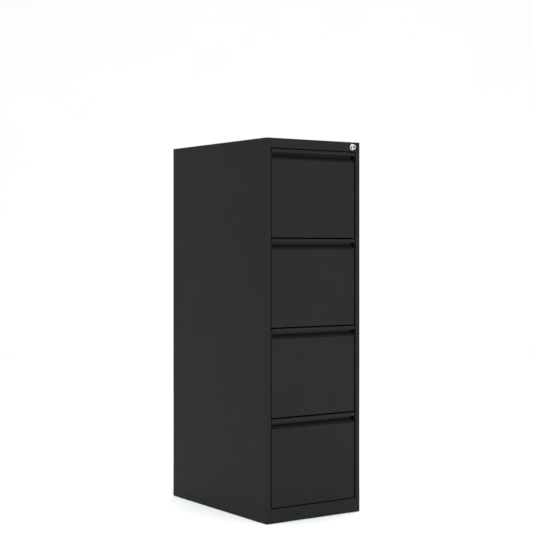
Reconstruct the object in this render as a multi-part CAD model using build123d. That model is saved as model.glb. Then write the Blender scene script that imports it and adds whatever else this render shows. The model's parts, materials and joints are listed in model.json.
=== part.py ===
from build123d import *
import os

# A four-drawer vertical filing cabinet in folded sheet steel. Millimetres, +Z up. The front faces -Y and
# the drawers open along -Y. The origin is on the floor, under the middle of the overall box.

# ---- Driving dimensions ----

# Carcass
width = 403.0
body_depth = 632.0
height = 1321.0
sheet = 0.8
fold_radius = 1.6
stile_width = 18.0
stile_return = 16.0
header_height = 33.4
plinth_top = 49.7
rail_flange = 22.0
foot_gap = 2.0
seam_lap = 13.0
fit_gap = 0.2

# Drawer fronts
drawer_count = 4
drawer_gap = 4.5
top_gap = 3.3
bottom_gap = 2.8
side_gap = 4.4
panel_setback = 2.6
lip_setback = 0.6
panel_depth = 15.0
lip_height = 12.6
hem_height = 9.0
recess_height = 23.4
recess_depth = 19.2
recess_rise = 15.0
flange_margin = 5.0

# Drawer bodies
floor_gap = 10.0
wall_height = 245.0
rail_height = 8.0
rail_ledge = 16.0
end_fold = 14.0
back_gap = 25.0

# Slides
slide_thickness = 12.7
slide_height = 45.7
slide_length = 560.0
slide_inset = 26.0
slide_rise = 75.0
slide_sheet = 1.2
slide_offset = 1.0
web_gap = 0.9
ball_diameter = 3.0
ball_inset = 4.9
lip_cover = 2.2
inner_lip = 7.0
race_clearance = 0.05
cage_sheet = 0.5
cage_length = 250.0
cage_start = 150.0
balls_per_row = 5

# Uprights
upright_width = 35.0
upright_flange = 12.0
upright_sheet = 1.2
upright_front = 60.0
upright_rear = 95.0

# Feet and bumpers
pan_height = 14.0
foot_diameter = 32.0
pad_height = 8.0
stud_diameter = 8.0
stud_top = 32.0
foot_nut_size = 13.0
foot_nut_height = 6.0
foot_inset = 32.0
bumper_diameter = 14.0
bumper_spacing = 240.0
bumper_rise = 60.0

# Lock
lock_inset = 15.1
lock_z_from_top = 17.5
lock_out = 10.0
collar_diameter = 22.5
collar_height = 2.5
barrel_diameter = 20.0
plunger_diameter = 17.0
plunger_length = 24.0
plunger_travel = 7.0
tail_diameter = 8.0
tail_length = 30.0
core_diameter = 11.0
core_length = 14.0
key_slot_width = 2.4
key_slot_height = 8.0
key_slot_depth = 6.0
running_clearance = 0.05
spring_space = 14.0
spring_wire = 0.9
spring_radius = 6.3
spring_turns = 5
housing_wall = 2.0
ring_nut_size = 24.0
ring_nut_thickness = 4.0
cross_pin_diameter = 4.0
cross_pin_setback = 6.0

# Lock bar and catches
bar_width = 12.0
bar_thickness = 2.0
bar_setback = 20.0
bar_inset = 2.5
slot_clearance = 0.1
slot_margin = 3.0
tab_height = 8.0
tab_reach = 3.2
tab_rise = 215.0
catch_gap = 1.5
catch_thickness = 2.0
catch_length = 26.0
catch_height = 18.0
lug_setback = 2.0
lug_reach = 9.7
lug_height = 10.0
guide_height = 12.0
guide_wall = 1.5

# Drawer screws
screw_diameter = 4.0
screw_length = 7.0
screw_head_diameter = 8.0
screw_head_height = 2.5
screw_from_floor = 40.0
screw_spacing = 170.0

# ---- Places worked out from them ----

half_width = width / 2
front_y = (lock_out - body_depth) / 2
rear_y = (lock_out + body_depth) / 2
inner_x = half_width - sheet
opening_x = half_width - stile_width
header_bottom = height - header_height

front_x = opening_x - side_gap
opening_height = header_bottom - plinth_top
drawer_height = (opening_height - top_gap - bottom_gap - (drawer_count - 1) * drawer_gap) / drawer_count
drawer_pitch = drawer_height + drawer_gap
panel_rear_y = front_y + panel_setback + panel_depth
back_y = rear_y - back_gap

slide_outer_x = opening_x + slide_offset
body_x = slide_outer_x - slide_thickness
slide_front_y = front_y + slide_inset
ball_radius = ball_diameter / 2
cabinet_half = slide_height / 2
outer_ball_z = cabinet_half - slide_sheet - race_clearance - ball_radius
middle_half = outer_ball_z - ball_radius - race_clearance
inner_ball_z = middle_half - slide_sheet - race_clearance - ball_radius
drawer_half = inner_ball_z - ball_radius - race_clearance
middle_outer_x = slide_outer_x - slide_sheet - web_gap
ball_x = body_x + ball_inset
screw_x = body_x - 2 * sheet - fold_radius - screw_head_diameter / 2

lock_x = opening_x - lock_inset
lock_z = height - lock_z_from_top
plunger_rear_y = front_y - lock_out + plunger_length
housing_rear_y = plunger_rear_y + spring_space + housing_wall
cross_pin_y = plunger_rear_y + tail_length - cross_pin_setback
bar_x = (opening_x + bar_inset, opening_x + bar_inset + bar_width)
bar_y = (front_y + bar_setback, front_y + bar_setback + bar_thickness)
tab_y = (bar_y[1], bar_y[1] + bar_thickness)

# ---- Helpers ----

FACES = {"left": (0, 0), "right": (0, 1), "front": (1, 0), "rear": (1, 1), "bottom": (2, 0), "top": (2, 1)}


def block(x, y, z, radius=0.0, folds=()):
    """A box from three (low, high) spans. Each fold names the two faces whose shared edge is rounded."""
    spans = (x, y, z)
    middle = [sum(span) / 2 for span in spans]
    solid = Pos(*middle) * Box(*(high - low for low, high in spans))
    edges = []
    for fold in folds:
        centre = list(middle)
        for face in fold:
            axis, end = FACES[face]
            centre[axis] = spans[axis][end]
        edges.append(solid.edges().sort_by_distance(Vector(*centre))[0])
    if edges:
        solid = fillet(edges, radius)
    return solid


def tray(x, y, z, folds, open_faces, thickness=sheet, radius=fold_radius):
    """A folded sheet box: its walls are one thickness in from the spans, and the open faces have no wall."""
    inner = [list(x), list(y), list(z)]
    for face, (axis, end) in FACES.items():
        inward = thickness if end == 0 else -thickness
        inner[axis][end] += -inward if face in open_faces else inward
    hollow = block(*inner, radius - thickness, folds)
    return block(x, y, z, radius, folds) - hollow


def folded(points, thickness, side, radius=fold_radius):
    """A bent strip's section: the points run along one of its faces, and the sheet lies on that side."""
    line = FilletPolyline(*points, radius=radius)
    return make_face(offset(line, thickness, side=side))


def along_x(section, x):
    """Extrude a section drawn in (y, z)."""
    plane = Plane(origin=(x[0], 0, 0), x_dir=(0, 1, 0), z_dir=(1, 0, 0))
    return extrude(plane * section, x[1] - x[0])


def along_y(section, y):
    """Extrude a section drawn in (x, z)."""
    plane = Plane(origin=(0, y[1], 0), x_dir=(1, 0, 0), z_dir=(0, -1, 0))
    return extrude(plane * section, y[1] - y[0])


def along_z(section, z):
    """Extrude a section drawn in (x, y)."""
    return extrude(Plane.XY.offset(z[0]) * section, z[1] - z[0])


def rod_y(diameter, x, y, z):
    """A cylinder along Y between the two ends of the span y."""
    return along_y(Pos(x, z) * Circle(diameter / 2), y)


def post(diameter, x, y, z):
    """A cylinder along Z between the two ends of the span z."""
    return along_z(Pos(x, y) * Circle(diameter / 2), z)


def turned(points):
    """Revolve a (radius, y) outline about the lock's axis."""
    plane = Plane(origin=(lock_x, 0, lock_z), x_dir=(1, 0, 0), z_dir=(0, 0, 1))
    return revolve(plane * Polygon(*points, align=None), Axis((lock_x, 0, lock_z), (0, 1, 0)))


def other_side(shape):
    """The same piece on the cabinet's left."""
    return mirror(shape, about=Plane.YZ)


def pair(shape):
    """A right-hand piece and its left-hand twin."""
    return [shape, other_side(shape)]


def save(node, *solids):
    """Write one node: a single solid, or a group of separate solids."""
    shape = solids[0] if len(solids) == 1 else Compound(list(solids))
    export_step(shape, f"parts/{node}.step")


# ---- Carcass ----


def side_panel():
    """The right side: outer face, front stile, rear flange and top flange from one sheet."""
    stile_z = (plinth_top, header_bottom)
    fold_room = 2 * fold_radius
    panel = tray(
        (opening_x, half_width), (front_y, rear_y), (foot_gap, height),
        [("right", "front"), ("right", "rear"), ("right", "top"), ("front", "top"), ("rear", "top")],
        ("left", "bottom"),
    )
    cut_y = (front_y - sheet, front_y + 2 * sheet)
    panel -= block((opening_x - sheet, opening_x + fold_room), cut_y, stile_z)
    edge = [(opening_x + fold_room, front_y), (opening_x, front_y), (opening_x, front_y + stile_return)]
    return panel + along_z(folded(edge, sheet, Side.RIGHT), stile_z)


def header_rail():
    """The rail above the drawers, with the lock's hole."""
    rail = tray(
        (-opening_x, opening_x), (front_y, front_y + rail_flange), (header_bottom, height),
        [("front", "top"), ("front", "bottom")], ("left", "right", "rear"),
    )
    hole = barrel_diameter + 2 * slot_clearance
    return rail - rod_y(hole, lock_x, (front_y - sheet, front_y + 2 * sheet), lock_z)


def plinth_rail():
    """The rail below the drawers."""
    return tray(
        (-opening_x, opening_x), (front_y, front_y + rail_flange), (foot_gap, plinth_top),
        [("front", "top"), ("front", "bottom")], ("left", "right", "rear"),
    )


def top_panel():
    """The flush top, its rear flange, and the joggled border that laps under its neighbours' flanges."""
    panel = tray(
        (-opening_x, opening_x), (front_y + rail_flange, rear_y), (height - stile_width, height),
        [("rear", "top")], ("left", "right", "front", "bottom"),
    )
    lap_x = opening_x + seam_lap
    lap_y = (front_y + rail_flange - seam_lap, rear_y - fold_radius - sheet)
    lap_z = (height - 2 * sheet, height - sheet)
    border = block((-lap_x, lap_x), lap_y, lap_z)
    window_x = opening_x - seam_lap
    window_y = (front_y + rail_flange + seam_lap, lap_y[1] - seam_lap)
    return panel + (border - block((-window_x, window_x), window_y, lap_z))


def rear_panel():
    """The back sheet, inside the rear flanges."""
    edge_x = half_width - fold_radius - fit_gap
    z = (foot_gap, height - fold_radius - fit_gap - sheet)
    return block((-edge_x, edge_x), (rear_y - 2 * sheet, rear_y - sheet), z)


def foot_places():
    """The four feet's (x, y)."""
    x = half_width - foot_inset
    rows = (front_y + rail_flange + foot_inset, rear_y - foot_inset)
    return [(side * x, y) for side in (-1, 1) for y in rows]


pan_top = foot_gap + pan_height


def base_pan():
    """The down-turned floor of the carcass, with the holes of the feet."""
    folds = [("left", "rear"), ("right", "rear")]
    folds += [(side, "top") for side in ("left", "right", "front", "rear")]
    pan = tray(
        (-inner_x, inner_x), (front_y + rail_flange, rear_y - 2 * sheet), (foot_gap + sheet, pan_top),
        folds, ("bottom",),
    )
    for x, y in foot_places():
        pan -= post(stud_diameter + 2 * fit_gap, x, y, (foot_gap, pan_top + sheet))
    return pan


def levelling_foot(x, y):
    """A moulded pad and its threaded stud."""
    pad = post(foot_diameter, x, y, (0, pad_height))
    pad = fillet(pad.edges().sort_by(Axis.Z)[-1], 2 * fit_gap + 1)
    return pad + post(stud_diameter, x, y, (pad_height, stud_top))


def foot_nut(x, y):
    """The weld nut on the base pan."""
    nut = RegularPolygon(foot_nut_size / 2, 6, major_radius=False)
    z = (pan_top, pan_top + foot_nut_height)
    return along_z(Pos(x, y) * nut, z) - post(stud_diameter, x, y, z)


def upright(y):
    """A hat section on the right side panel, its crown facing the drawers."""
    flange_x = inner_x - upright_sheet
    outline = [
        (flange_x, y - upright_flange), (flange_x, y), (slide_outer_x, y),
        (slide_outer_x, y + upright_width), (flange_x, y + upright_width),
        (flange_x, y + upright_width + upright_flange),
    ]
    z = (pan_top, header_bottom - top_gap)
    return along_z(folded(outline, upright_sheet, Side.RIGHT), z)


# ---- Drawers ----


def drawer_zero(number):
    """The bottom edge of a drawer's front. Drawer 1 is the top one."""
    return header_bottom - top_gap - drawer_height - (number - 1) * drawer_pitch


def drawer_front(z0):
    """The lip, the finger recess and the flat panel with its returns, from one sheet."""
    top = z0 + drawer_height
    panel_top = top - lip_height - recess_height
    panel_y = front_y + panel_setback
    lip_y = front_y + lip_setback
    x = (-front_x, front_x)
    pan = tray(
        x, (panel_y, panel_rear_y), (z0, panel_top - fold_radius),
        [("left", "front"), ("right", "front"), ("front", "bottom"), ("left", "bottom"), ("right", "bottom")],
        ("top",),
    )
    window_x = screw_x - flange_margin
    pan -= block((-window_x, window_x), (panel_rear_y - 2 * sheet, panel_rear_y + sheet),
                 (z0 + end_fold, panel_top + sheet))
    back = lip_y + recess_depth
    outline = [
        (panel_y, panel_top - fold_radius), (panel_y, panel_top), (back, panel_top + recess_rise),
        (back, top - sheet), (lip_y + sheet, top - sheet), (lip_y + sheet, top - lip_height),
    ]
    pull = along_x(folded(outline, sheet, Side.RIGHT, fold_radius / 2), x)
    hem_z = (top - lip_height, top - lip_height + hem_height)
    hem = block(x, (lip_y + sheet, lip_y + 2 * sheet), hem_z)
    return pan + pull + hem


def end_wall(y, z0, closed_face):
    """A drawer's inner front or its back: a flat sheet, then the four edge strips on its inner face."""
    x = body_x - sheet
    z = (z0 + floor_gap + sheet, z0 + floor_gap + wall_height - fold_radius)
    if closed_face == "front":
        sheet_y = (y[0], y[0] + sheet)
        strip_y = (y[0] + sheet, y[1])
    else:
        sheet_y = (y[1] - sheet, y[1])
        strip_y = (y[0], y[1] - sheet)
    between = (sheet - x, x - sheet)
    bottom = block(between, strip_y, (z[0], z[0] + sheet))
    top = block(between, strip_y, (z[1] - sheet, z[1]))
    return [block((-x, x), sheet_y, z), *pair(block((x - sheet, x), strip_y, z)), bottom, top]


def drawer_body(z0):
    """The floor between the two walls. A hanging-file rail is folded along the top of each wall."""
    y = (panel_rear_y, back_y)
    low = z0 + floor_gap
    high = low + wall_height
    rail_x = body_x - rail_ledge
    outline = [(body_x, low), (body_x, high), (rail_x, high), (rail_x, high + rail_height)]
    wall = along_y(folded(outline, sheet, Side.LEFT), y)
    return [block((sheet - body_x, body_x - sheet), y, (low, low + sheet)), *pair(wall)]


def tab_zero(z0):
    """The underside of the lock bar's tab beside a drawer."""
    return z0 + floor_gap + tab_rise


def drawer_catch(z0):
    """The bracket on the drawer's right wall, and the lug that the raised tab blocks."""
    low = tab_zero(z0) + tab_height + catch_gap
    lug_y = tab_y[1] + lug_setback
    plate_y = (lug_y, lug_y + catch_length)
    plate = block((body_x, body_x + catch_thickness), plate_y, (low, low + catch_height))
    lug = block((body_x, body_x + lug_reach), (lug_y, lug_y + catch_thickness), (low, low + lug_height))
    return plate + lug


def screw_places(z0):
    """The four drawer screws' (x, z)."""
    low = z0 + screw_from_floor
    return [(side * screw_x, z) for side in (-1, 1) for z in (low, low + screw_spacing)]


def drawer_screw(x, z):
    """A pan-head screw, driven from inside the drawer through the liner and the front's flange."""
    head_y = panel_rear_y + sheet
    head = rod_y(screw_head_diameter, x, (head_y, head_y + screw_head_height), z)
    head = fillet(head.edges().sort_by(Axis.Y)[-1], screw_head_height / 2)
    return head + rod_y(screw_diameter, x, (head_y - screw_length, head_y), z)


def with_screw_holes(shape, z0):
    """Cut the clearance holes of the drawer screws."""
    y = (panel_rear_y - 2 * sheet, panel_rear_y + 2 * sheet)
    for x, z in screw_places(z0):
        shape -= rod_y(screw_diameter, x, y, z)
    return shape


# ---- Slides ----


def channel(half_height, web_x, lip_x, thickness, side, z, y):
    """A slide member: a C section with its web at web_x and its lips ending at lip_x."""
    low, high = z - half_height, z + half_height
    outline = [(lip_x, high), (web_x, high), (web_x, low), (lip_x, low)]
    return along_y(folded(outline, thickness, side, thickness * 1.25), y)


def slide_span():
    """The slides' span in y, closed."""
    return (slide_front_y, slide_front_y + slide_length)


def cabinet_member(z):
    """The member fixed to the uprights."""
    return channel(cabinet_half, slide_outer_x, body_x + lip_cover, slide_sheet, Side.RIGHT, z, slide_span())


def middle_member(z):
    """The member that travels half as far as the drawer."""
    return channel(middle_half, middle_outer_x, body_x + lip_cover, slide_sheet, Side.RIGHT, z, slide_span())


def drawer_member(z):
    """The member fixed to the drawer's wall."""
    return channel(drawer_half, body_x, body_x + inner_lip, slide_sheet, Side.LEFT, z, slide_span())


def ball_cage(ball_z, web_x, z):
    """A cage strip between two members, with its rows of balls."""
    y0 = slide_front_y + cage_start
    lip_x = ball_x - ball_radius
    half = ball_z + cage_sheet / 2
    cage = channel(half, web_x, lip_x, cage_sheet, Side.RIGHT, z, (y0, y0 + cage_length))
    step = cage_length / balls_per_row
    for side in (-1, 1):
        for index in range(balls_per_row):
            cage += Pos(ball_x, y0 + (index + 0.5) * step, z + side * ball_z) * Sphere(ball_radius)
    return cage


def outer_cage(z):
    """The cage between the cabinet member and the middle member."""
    return ball_cage(outer_ball_z, middle_outer_x + (web_gap + cage_sheet) / 2, z)


def inner_cage(z):
    """The cage between the middle member and the drawer member."""
    web_space = (body_x + inner_lip, middle_outer_x - slide_sheet)
    return ball_cage(inner_ball_z, (sum(web_space) + cage_sheet) / 2, z)


# ---- Lock ----


def lock_housing():
    """The collar, the barrel and its rear wall."""
    bore = plunger_diameter / 2 + running_clearance
    tail = tail_diameter / 2 + running_clearance
    wall_y = housing_rear_y - housing_wall
    return turned([
        (bore, front_y - collar_height), (barrel_diameter / 2, front_y - collar_height),
        (collar_diameter / 2, front_y - 1), (collar_diameter / 2, front_y), (barrel_diameter / 2, front_y),
        (barrel_diameter / 2, housing_rear_y), (tail, housing_rear_y), (tail, wall_y), (bore, wall_y),
    ])


def lock_nut():
    """The ring nut behind the header."""
    hexagon = Pos(lock_x, lock_z) * RegularPolygon(ring_nut_size / 2, 6, major_radius=False, rotation=30)
    y = (front_y + sheet, front_y + sheet + ring_nut_thickness)
    return along_y(hexagon, y) - rod_y(barrel_diameter, lock_x, y, lock_z)


def lock_plunger():
    """The push-in plunger with the core's bore, its tail and the cross pin's hole."""
    face_y = front_y - lock_out
    radius = plunger_diameter / 2
    bore = core_diameter / 2 + running_clearance
    core_rear = face_y + core_length + running_clearance
    tail_end = plunger_rear_y + tail_length
    plunger = turned([
        (bore, face_y), (radius - 1, face_y), (radius, face_y + 1), (radius, plunger_rear_y),
        (tail_diameter / 2, plunger_rear_y), (tail_diameter / 2, tail_end), (0, tail_end), (0, core_rear),
        (bore, core_rear),
    ])
    return plunger - cross_pin()


def cross_pin():
    """The pin through the tail, which reaches out to the lock bar's slot."""
    reach = bar_x[0] + bar_thickness + bar_inset - slot_margin / 2
    x = (lock_x - tail_diameter / 2 - bar_thickness / 2, reach)
    return along_x(Pos(cross_pin_y, lock_z) * Circle(cross_pin_diameter / 2), x)


def lock_core():
    """The key core, turning in the plunger."""
    face_y = front_y - lock_out
    core = rod_y(core_diameter, lock_x, (face_y, face_y + core_length), lock_z)
    slot_x = (lock_x - key_slot_width / 2, lock_x + key_slot_width / 2)
    slot_z = (lock_z - key_slot_height / 2, lock_z + key_slot_height / 2)
    return core - block(slot_x, (face_y - 1, face_y + key_slot_depth), slot_z)


def lock_spring():
    """The return spring between the plunger's shoulder and the housing's rear wall."""
    rise = spring_space - spring_wire - 2 * running_clearance
    coil = Helix(rise / spring_turns, rise, spring_radius)
    start = Plane(origin=coil @ 0, z_dir=coil % 0)
    wire = sweep(start * Circle(spring_wire / 2), coil)
    place = Pos(lock_x, plunger_rear_y + (spring_space - rise) / 2, lock_z)
    return place * Rot(-90, 0, 0) * wire


def lock_bar():
    """The bar behind the right stile and its slotted head plate."""
    pin_radius = cross_pin_diameter / 2 + slot_clearance
    margin = pin_radius + slot_margin
    head_z = (lock_z - plunger_travel - margin, lock_z + margin)
    head_y = (bar_y[0], cross_pin_y + plunger_travel + margin)
    bar = block(bar_x, bar_y, (bar_bottom, head_z[1]))
    head = block((bar_x[0], bar_x[0] + bar_thickness), head_y, head_z)
    ends = [(cross_pin_y, lock_z), (cross_pin_y + plunger_travel, lock_z - plunger_travel)]
    slot = make_hull([edge for y, z in ends for edge in (Pos(y, z) * Circle(pin_radius)).edges()])
    return bar + (head - along_x(slot, (bar_x[0] - 1, bar_x[0] + bar_thickness + 1)))


def bar_tab(z0):
    """The tab for one drawer, lapped behind the bar and welded to it."""
    low = tab_zero(z0)
    return block((body_x + tab_reach, bar_x[1] - fit_gap), tab_y, (low, low + tab_height))


bar_bottom = tab_zero(drawer_zero(drawer_count)) - 8 * tab_height


def bar_guide(z, is_stop):
    """A clip on the side panel around the bar. The lowest one also carries the resting bar."""
    outer_y = (bar_y[0] - guide_wall, bar_y[1] + guide_wall)
    guide = block((bar_x[0] - guide_wall + fit_gap, inner_x), outer_y, (z, z + guide_height))
    slot_z = (z + (guide_wall if is_stop else -1), z + guide_height + 1)
    slot_x = (bar_x[0] - fit_gap, bar_x[1] + fit_gap)
    return guide - block(slot_x, (bar_y[0] - fit_gap, bar_y[1] + fit_gap), slot_z)


def bar_guides():
    """One guide beside each of the upper drawers, and the stop below."""
    guides = [
        bar_guide(tab_zero(drawer_zero(number)) - 8 * tab_height, False) for number in range(1, drawer_count)
    ]
    return guides + [bar_guide(bar_bottom - fit_gap - guide_wall, True)]


# ---- Write the nodes ----

os.makedirs("parts", exist_ok=True)

right_side = side_panel()
save("right_side_panel", right_side)
save("left_side_panel", other_side(right_side))
save("header_rail", header_rail())
save("plinth_rail", plinth_rail())
save("top_panel", top_panel())
save("rear_panel", rear_panel())
save("base_pan", base_pan())
save("levelling_feet", *[levelling_foot(x, y) for x, y in foot_places()])
save("foot_nuts", *[foot_nut(x, y) for x, y in foot_places()])
save("slide_uprights", *pair(upright(front_y + upright_front)), *pair(upright(rear_y - upright_rear)))

save("lock_housing", lock_housing())
save("lock_nut", lock_nut())
save("lock_plunger", lock_plunger())
save("lock_cross_pin", cross_pin())
save("lock_core", lock_core())
save("lock_spring", lock_spring())
save("lock_bar", lock_bar(), *[bar_tab(drawer_zero(number)) for number in range(1, drawer_count + 1)])
save("lock_bar_guides", *bar_guides())

cabinet_members = []
bumpers = []
for number in range(1, drawer_count + 1):
    z0 = drawer_zero(number)
    slide_z = z0 + floor_gap + slide_rise
    drawer = f"drawer_{number}"
    save(f"{drawer}_front", with_screw_holes(drawer_front(z0), z0))
    liner_y = (panel_rear_y, panel_rear_y + end_fold)
    liner, *liner_strips = end_wall(liner_y, z0, "front")
    save(f"{drawer}_liner", with_screw_holes(liner, z0), *liner_strips)
    save(f"{drawer}_body", *drawer_body(z0))
    save(f"{drawer}_back", *end_wall((back_y - end_fold, back_y), z0, "rear"))
    save(f"{drawer}_catch", drawer_catch(z0))
    save(f"{drawer}_screws", *[drawer_screw(x, z) for x, z in screw_places(z0)])
    save(f"{drawer}_slide_members", *pair(drawer_member(slide_z)))
    save(f"{drawer}_middle_members", *pair(middle_member(slide_z)))
    save(f"{drawer}_outer_cages", *pair(outer_cage(slide_z)))
    save(f"{drawer}_inner_cages", *pair(inner_cage(slide_z)))
    cabinet_members += pair(cabinet_member(slide_z))
    bumper_y = (back_y + fit_gap, rear_y - 2 * sheet)
    bumpers += pair(rod_y(bumper_diameter, bumper_spacing / 2, bumper_y, z0 + floor_gap + bumper_rise))
save("cabinet_slide_members", *cabinet_members)
save("rear_bumpers", *bumpers)
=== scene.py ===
import json
import math

import bpy
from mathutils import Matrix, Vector

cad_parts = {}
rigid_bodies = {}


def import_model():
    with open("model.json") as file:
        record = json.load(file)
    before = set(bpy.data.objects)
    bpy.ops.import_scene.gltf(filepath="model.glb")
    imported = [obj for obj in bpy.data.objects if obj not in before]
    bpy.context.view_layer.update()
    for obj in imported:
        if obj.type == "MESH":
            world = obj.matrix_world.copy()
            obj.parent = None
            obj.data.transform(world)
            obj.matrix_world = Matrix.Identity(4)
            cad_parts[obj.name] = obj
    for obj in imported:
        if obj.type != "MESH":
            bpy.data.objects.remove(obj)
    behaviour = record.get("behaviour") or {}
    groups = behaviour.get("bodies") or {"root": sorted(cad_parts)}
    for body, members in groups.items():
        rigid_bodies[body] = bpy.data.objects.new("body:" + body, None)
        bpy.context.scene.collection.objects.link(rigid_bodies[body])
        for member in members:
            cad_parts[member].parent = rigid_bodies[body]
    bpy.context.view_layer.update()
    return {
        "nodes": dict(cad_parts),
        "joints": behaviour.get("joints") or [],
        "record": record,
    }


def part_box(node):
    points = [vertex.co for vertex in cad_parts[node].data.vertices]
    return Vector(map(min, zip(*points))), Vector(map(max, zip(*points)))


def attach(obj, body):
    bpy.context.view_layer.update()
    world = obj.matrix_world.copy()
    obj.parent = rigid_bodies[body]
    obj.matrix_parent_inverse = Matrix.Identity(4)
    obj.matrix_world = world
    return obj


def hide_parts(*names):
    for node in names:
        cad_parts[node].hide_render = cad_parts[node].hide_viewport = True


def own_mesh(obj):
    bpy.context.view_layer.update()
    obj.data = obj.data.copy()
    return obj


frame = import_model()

record = frame["record"]
nodes = frame["nodes"]

# Looks of a four-drawer filing cabinet, in metres. The nodes are folded sheet and hardware whose shapes
# the CAD holds, so this script gives each one its finish. It stands in for one node only, the lock's
# return spring, which has to shorten; the stand-in is a plain copy that keeps its length. Then it sets
# the studio, the light and the camera.

# ---- Camera: level, turned from the front towards the left side ----
CAMERA_YAW = math.radians(34.28)
CAMERA_FROM_CORNER = Vector((-2.4801, -3.6374, 0.9426))
LENS_MM = 87.29
SENSOR_MM = 36.0
CAMERA_SHIFT_Y = -0.0341

# ---- Studio ----
PALE = (0.93, 0.93, 0.93)
FLOOR_HALF = 9.0
BACKDROP_FAR = 6.0
BACKDROP_BEND = 2.5
BACKDROP_HEIGHT = 7.0
BEND_STEPS = 24
WHITE = (1.0, 1.0, 1.0)
COOL = (0.62, 0.80, 1.0)
KEY_TINT = (0.90, 0.97, 1.0)
WORLD_STRENGTH = 0.95
CABINET_MIDDLE = (0, 0, 0.66)
LOW_MIDDLE = (-0.2, 0, 0.2)
PLINTH_MIDDLE = (0.0, -0.3, 0.1)
# Each soft box: its name, place, target, (width, height), watts and colour.
SOFT_BOXES = (
    ("key", (-1.45, -3.6, 4.2), CABINET_MIDDLE, (2.6, 2.6), 148, KEY_TINT),
    ("fill", (1.8, -4.5, 2.0), CABINET_MIDDLE, (3.0, 3.0), 25, WHITE),
    ("bounce", (-2.6, -1.6, 0.25), LOW_MIDDLE, (2.0, 0.4), 2, COOL),
    ("front bounce", (0.9, -2.6, 0.25), PLINTH_MIDDLE, (2.0, 0.4), 10, COOL),
    ("overhead", (0.5, 1.0, 5.0), CABINET_MIDDLE, (4.0, 4.0), 100, WHITE),
)

# ---- Paint ----
COAT_COLOR = (0.0070, 0.0077, 0.0083)
COAT_SPECULAR = 0.13
COAT_ROUGHNESS = (0.56, 0.60)
PEEL_HEIGHT = 0.00018
WAVE_HEIGHT = 0.0012

# ---- Metals and plastics ----
ZINC_COLOR = (0.40, 0.41, 0.425)
CAGE_COLOR = (0.31, 0.31, 0.315)
SPRING_COLOR = (0.35, 0.35, 0.36)
CHROME_DARK = (0.52, 0.53, 0.54)
CHROME_LIGHT = (0.62, 0.63, 0.64)
# Both ring tones of the key core sit near-black: painted shade for the keyway, laid over the whole core
# face.
NICKEL_RING_DARK_PAINTED_SHADE = (0.13, 0.125, 0.12)
NICKEL_RING_LIGHT_PAINTED_SHADE = (0.22, 0.215, 0.205)
FOOT_COLOR = (0.022, 0.022, 0.023)
RUBBER_COLOR = (0.020, 0.020, 0.020)
ALONG_Y = (1.0, 0.06, 1.0)
ALONG_Z = (1.0, 1.0, 0.06)


# ---------------------------------------------------------------- node helpers

class Graph:
    """A material's node tree, with short calls to add and link nodes."""

    def __init__(self, name):
        self.material = bpy.data.materials.new(name)
        self.material.use_nodes = True
        self.tree = self.material.node_tree
        self.shader = self.tree.nodes["Principled BSDF"]
        self.place = self.node("ShaderNodeTexCoord").outputs["Object"]

    def node(self, kind, **settings):
        made = self.tree.nodes.new(kind)
        for key, value in settings.items():
            setattr(made, key, value)
        return made

    def link(self, source, target):
        self.tree.links.new(source, target)

    def stretched(self, scale):
        """Object coordinates scaled by axis, for grain that runs one way."""
        mapping = self.node("ShaderNodeMapping")
        mapping.inputs["Scale"].default_value = scale
        self.link(self.place, mapping.inputs["Vector"])
        return mapping.outputs["Vector"]

    def noise(self, scale, detail=2.0, roughness=0.5, vector=None):
        texture = self.node("ShaderNodeTexNoise")
        texture.inputs["Scale"].default_value = scale
        texture.inputs["Detail"].default_value = detail
        texture.inputs["Roughness"].default_value = roughness
        self.link(vector or self.place, texture.inputs["Vector"])
        return texture.outputs["Fac"]

    def cells(self, scale, vector=None):
        texture = self.node("ShaderNodeTexVoronoi")
        texture.inputs["Scale"].default_value = scale
        self.link(vector or self.place, texture.inputs["Vector"])
        return texture

    def spread(self, value, low, high, from_low=0.3, from_high=0.7):
        """Map a texture's value to the range low to high."""
        ranged = self.node("ShaderNodeMapRange")
        ranged.inputs["From Min"].default_value = from_low
        ranged.inputs["From Max"].default_value = from_high
        ranged.inputs["To Min"].default_value = low
        ranged.inputs["To Max"].default_value = high
        self.link(value, ranged.inputs["Value"])
        return ranged.outputs["Result"]

    def colors(self, value, dark, light):
        """Mix two colours by a texture's value."""
        ramp = self.node("ShaderNodeValToRGB")
        ramp.color_ramp.elements[0].position = 0.3
        ramp.color_ramp.elements[1].position = 0.7
        ramp.color_ramp.elements[0].color = (*dark, 1)
        ramp.color_ramp.elements[1].color = (*light, 1)
        self.link(value, ramp.inputs["Fac"])
        return ramp.outputs["Color"]

    def bump(self, height, strength, distance, normal=None):
        bump = self.node("ShaderNodeBump")
        bump.inputs["Strength"].default_value = strength
        bump.inputs["Distance"].default_value = distance
        self.link(height, bump.inputs["Height"])
        if normal is not None:
            self.link(normal, bump.inputs["Normal"])
        return bump.outputs["Normal"]

    def set(self, **values):
        """Plain values on the shader's own sockets."""
        for key, value in values.items():
            self.shader.inputs[key.replace("_", " ")].default_value = value


def shade(color, factor):
    return tuple(channel * factor for channel in color)


# ---------------------------------------------------------------- finishes

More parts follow.
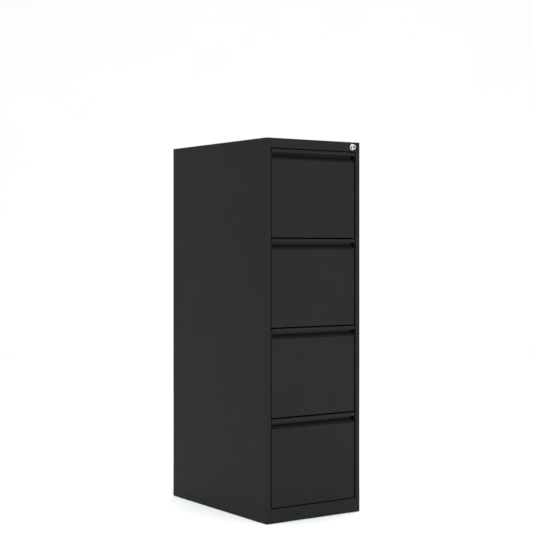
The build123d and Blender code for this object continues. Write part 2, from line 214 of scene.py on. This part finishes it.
def powder_coat():
    """Fine-textured charcoal powder coat: orange peel, tiny specks, and sheet that isn't quite flat."""
    g = Graph("powder coat")
    g.set(Specular_IOR_Level=COAT_SPECULAR, Metallic=0.0)
    cloud = g.noise(4.0, detail=3.0)
    speck = g.noise(2600.0, detail=1.0)
    base = g.colors(cloud, shade(COAT_COLOR, 0.985), shade(COAT_COLOR, 1.015))
    fleck = g.node("ShaderNodeMixRGB", blend_type="MULTIPLY")
    fleck.inputs["Fac"].default_value = 0.5
    g.link(base, fleck.inputs["Color1"])
    g.link(g.colors(speck, (0.72, 0.72, 0.72), (1.0, 1.0, 1.0)), fleck.inputs["Color2"])
    g.link(fleck.outputs["Color"], g.shader.inputs["Base Color"])
    g.link(g.spread(g.noise(9.0, detail=4.0), *COAT_ROUGHNESS), g.shader.inputs["Roughness"])
    wave = g.bump(g.noise(2.2, detail=0.0), 0.05, WAVE_HEIGHT)
    peel = g.bump(g.noise(620.0, detail=2.0), 0.45, PEEL_HEIGHT, wave)
    g.link(peel, g.shader.inputs["Normal"])
    return g.material


def plated_steel(name, color, roughness, grain):
    """Zinc-plated steel: rolled grain along one axis, a faint crystal spangle and uneven gloss."""
    g = Graph(name)
    g.set(Metallic=1.0)
    rolled = g.noise(60.0, detail=5.0, vector=g.stretched(grain))
    spangle = g.cells(240.0).outputs["Color"]
    value = g.node("ShaderNodeRGBToBW")
    g.link(spangle, value.inputs["Color"])
    g.link(g.colors(rolled, shade(color, 0.78), color), g.shader.inputs["Base Color"])
    gloss = g.spread(value.outputs["Val"], roughness, roughness + 0.14, 0.0, 1.0)
    g.link(gloss, g.shader.inputs["Roughness"])
    g.link(g.bump(rolled, 0.12, 0.0002), g.shader.inputs["Normal"])
    return g.material


def polished_chrome():
    """Bright chrome with hairline handling marks."""
    g = Graph("lock chrome")
    g.set(Metallic=1.0)
    hairs = g.noise(900.0, detail=3.0, vector=g.stretched((1.0, 1.0, 0.08)))
    g.link(g.colors(g.noise(90.0), CHROME_DARK, CHROME_LIGHT), g.shader.inputs["Base Color"])
    g.link(g.spread(hairs, 0.07, 0.16), g.shader.inputs["Roughness"])
    g.link(g.bump(hairs, 0.05, 0.00005), g.shader.inputs["Normal"])
    return g.material


def nickel_core_painted_shade():
    """The key core's face, satin nickel with faint turning rings about the lock's axis, toned near-black
    as painted shade for the keyway.
    """
    g = Graph("lock core nickel, painted shade")
    g.set(Metallic=1.0)
    low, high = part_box("lock_core")
    centre = (low + high) / 2
    mapping = g.node("ShaderNodeMapping")
    mapping.inputs["Location"].default_value = (-centre.x, 0.0, -centre.z)
    mapping.inputs["Scale"].default_value = (1.0, 0.0, 1.0)
    g.link(g.place, mapping.inputs["Vector"])
    rings = g.node("ShaderNodeTexWave", wave_type="RINGS", rings_direction="SPHERICAL")
    rings.inputs["Scale"].default_value = 900.0
    g.link(mapping.outputs["Vector"], rings.inputs["Vector"])
    g.link(g.colors(rings.outputs["Fac"], NICKEL_RING_DARK_PAINTED_SHADE, NICKEL_RING_LIGHT_PAINTED_SHADE), g.shader.inputs["Base Color"])
    g.link(g.spread(g.noise(700.0), 0.22, 0.34), g.shader.inputs["Roughness"])
    g.link(g.bump(rings.outputs["Fac"], 0.1, 0.00004), g.shader.inputs["Normal"])
    return g.material


def moulded(name, color, roughness, grain_scale):
    """Moulded rubber or plastic with a fine spark-eroded grain."""
    g = Graph(name)
    g.set(Specular_IOR_Level=0.4)
    grain = g.noise(grain_scale, detail=3.0)
    g.link(g.colors(g.noise(40.0), shade(color, 0.85), shade(color, 1.15)), g.shader.inputs["Base Color"])
    g.link(g.spread(grain, roughness, roughness + 0.12), g.shader.inputs["Roughness"])
    g.link(g.bump(grain, 0.3, 0.00015), g.shader.inputs["Normal"])
    return g.material


finishes = {
    "charcoal_powder_coat": powder_coat(),
    "zinc_plated_steel": plated_steel("zinc plated steel", ZINC_COLOR, 0.27, ALONG_Y),
    "cage_steel": plated_steel("cage steel", CAGE_COLOR, 0.34, ALONG_Y),
    "spring_steel": plated_steel("spring steel", SPRING_COLOR, 0.30, ALONG_Z),
    "lock_chrome": polished_chrome(),
    "lock_core_nickel": nickel_core_painted_shade(),
    "foot_plastic": moulded("foot plastic", FOOT_COLOR, 0.48, 1500.0),
    "bumper_rubber": moulded("bumper rubber", RUBBER_COLOR, 0.62, 900.0),
}

for subpart in record["subparts"]:
    node = nodes[subpart["node"]]
    for material_slot in node.material_slots:
        material_slot.material = finishes[subpart["material_slot"]]


def return_spring():
    """The lock's spring as a plain copy of its node, fixed to the plunger joint's parent body, with the
    node hidden.
    """
    push = next(joint for joint in frame["joints"] if joint["name"] == "lock_plunger_push")
    spring = bpy.data.objects.new("return_spring", nodes["lock_spring"].data.copy())
    bpy.context.scene.collection.objects.link(spring)
    spring.data.materials.clear()
    spring.data.materials.append(finishes["spring_steel"])
    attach(spring, push["parent"])
    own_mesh(spring)
    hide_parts("lock_spring")


return_spring()


# ---------------------------------------------------------------- studio

def studio_material():
    g = Graph("studio paper")
    g.link(g.colors(g.noise(1.5), shade(PALE, 0.985), PALE), g.shader.inputs["Base Color"])
    g.set(Roughness=0.9, Specular_IOR_Level=0.1)
    return g.material


def studio_sweep():
    """A floor that bends up into a backdrop behind the cabinet, square to the camera's yaw."""
    profile = [(-FLOOR_HALF, 0.0)]
    for step in range(BEND_STEPS + 1):
        angle = math.pi / 2 * step / BEND_STEPS
        along = BACKDROP_FAR + BACKDROP_BEND * math.sin(angle)
        profile.append((along, BACKDROP_BEND * (1 - math.cos(angle))))
    profile.append((BACKDROP_FAR + BACKDROP_BEND, BACKDROP_HEIGHT))
    forward = Vector((math.sin(CAMERA_YAW), math.cos(CAMERA_YAW), 0))
    right = Vector((forward.y, -forward.x, 0))
    points = []
    for along, up in profile:
        for side in (-FLOOR_HALF, FLOOR_HALF):
            points.append(forward * along + right * side + Vector((0, 0, up)))
    faces = [(2 * i, 2 * i + 1, 2 * i + 3, 2 * i + 2) for i in range(len(profile) - 1)]
    mesh = bpy.data.meshes.new("studio_sweep")
    mesh.from_pydata(points, [], faces)
    for polygon in mesh.polygons:
        polygon.use_smooth = True
    sweep = bpy.data.objects.new("studio_sweep", mesh)
    bpy.context.scene.collection.objects.link(sweep)
    mesh.materials.append(studio_material())


def area_light(name, place, target, size, power, color):
    """A soft box aimed at a point."""
    light = bpy.data.lights.new(name, "AREA")
    light.shape = "RECTANGLE"
    light.size, light.size_y = size
    light.energy = power
    light.color = color
    lamp = bpy.data.objects.new(name, light)
    bpy.context.scene.collection.objects.link(lamp)
    lamp.location = place
    lamp.rotation_euler = (Vector(target) - Vector(place)).to_track_quat("-Z", "Y").to_euler()


def world_light():
    world = bpy.data.worlds.new("studio")
    world.use_nodes = True
    background = world.node_tree.nodes["Background"]
    background.inputs["Color"].default_value = (*WHITE, 1)
    background.inputs["Strength"].default_value = WORLD_STRENGTH
    bpy.context.scene.world = world
    bpy.context.scene.view_settings.view_transform = "Standard"


def camera():
    """The photograph's camera: its place is measured from the front left bottom corner of the carcass."""
    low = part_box("left_side_panel")[0]
    corner = Vector((low.x, low.y, 0))
    data = bpy.data.cameras.new("camera")
    data.sensor_width = SENSOR_MM
    data.lens = LENS_MM
    data.shift_y = CAMERA_SHIFT_Y
    made = bpy.data.objects.new("camera", data)
    bpy.context.scene.collection.objects.link(made)
    made.location = corner + CAMERA_FROM_CORNER
    made.rotation_euler = (math.pi / 2, 0, -CAMERA_YAW)
    bpy.context.scene.camera = made


studio_sweep()
world_light()
for soft_box in SOFT_BOXES:
    area_light(*soft_box)
camera()
